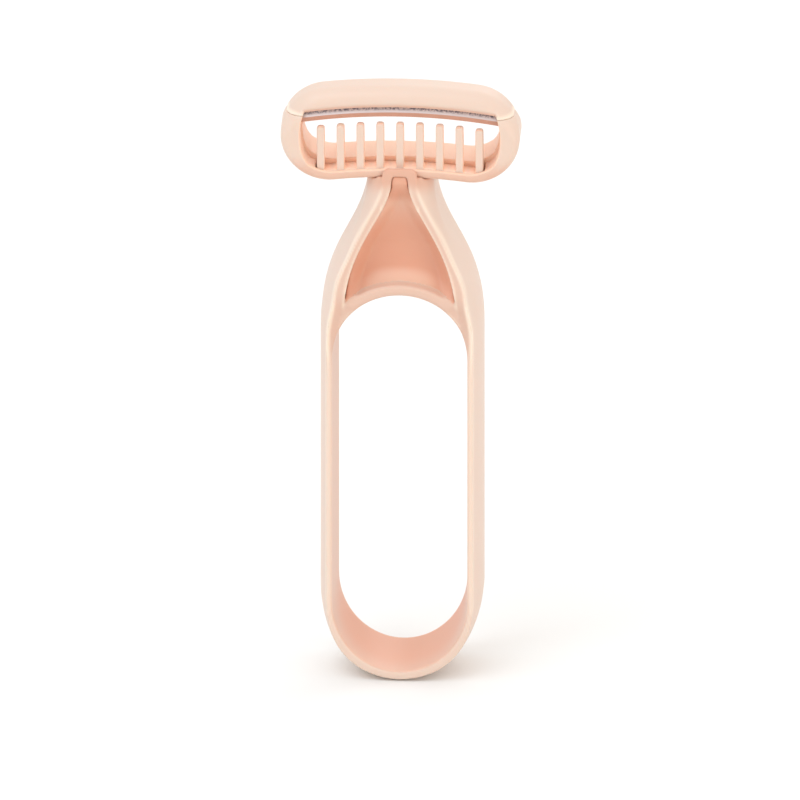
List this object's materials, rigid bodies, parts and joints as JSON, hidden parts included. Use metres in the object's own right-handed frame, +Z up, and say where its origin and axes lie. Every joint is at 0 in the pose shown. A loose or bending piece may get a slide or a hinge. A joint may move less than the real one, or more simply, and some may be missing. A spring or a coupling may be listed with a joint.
{
  "type": "cartridge razor",
  "caption": "Hand razor with an arched ring head holding a blade and a comb of teeth, on a sprung pivot above a flared neck and a long finger loop.",
  "frame": {"origin": "centre of the finger loop's opening, half way through its depth, where the hand holds the razor", "axes": "+Z up the handle to the head, -Y towards the skin (the shaving side), +X across the head"},
  "size_m": [0.0494, 0.016, 0.133],
  "materials": {
    "shell_plastic": "satin moulded, pale pink",
    "panel_plastic": "fine matt, salmon pink",
    "pin_steel": "drawn wire",
    "spring_steel": "drawn wire",
    "plunger_plastic": "natural, slightly waxy",
    "shoe_plastic": "fine matt, salmon pink",
    "frame_plastic": "satin moulded, pale pink",
    "comb_plastic": "satin moulded, pale pink",
    "seat_plastic": "matt, brown pink",
    "blade_steel": "ground, with a honed edge",
    "cap_plastic": "satin moulded, pale pink"
  },
  "bodies": {
    "handle": {"handle": "shell_plastic", "thumb_panel": "panel_plastic", "pivot_pin": "pin_steel", "return_spring": "spring_steel"},
    "plunger": {"return_plunger": "plunger_plastic"},
    "shoe": {"pivot_shoe": "shoe_plastic"},
    "cartridge": {"head_frame": "frame_plastic", "comb": "comb_plastic", "blade_seat": "seat_plastic", "blade": "blade_steel", "blade_cap": "cap_plastic"}
  },
  "joints": [
    {"name": "head_pivot", "type": "hinge", "parent": "handle", "child": "shoe", "pos_m": [0, 0.0006, 0.0659], "axis": [1, 0, 0], "range_deg": [-22, 0], "stiffness_Nm_per_rad": 0.02, "springref_deg": 20.05},
    {"name": "plunger_slide", "type": "slide", "parent": "handle", "child": "plunger", "axis": [0, 0, 1], "range_m": [-0.0012, 0], "deforming": ["return_spring"]},
    {"name": "cartridge_release", "type": "slide", "parent": "shoe", "child": "cartridge", "axis": [0, 0, 1], "range_m": [0, 0.012]}
  ],
  "couplings": [
    {"joint": "plunger_slide", "follows": "head_pivot", "m_per_rad": 0.0029}
  ]
}
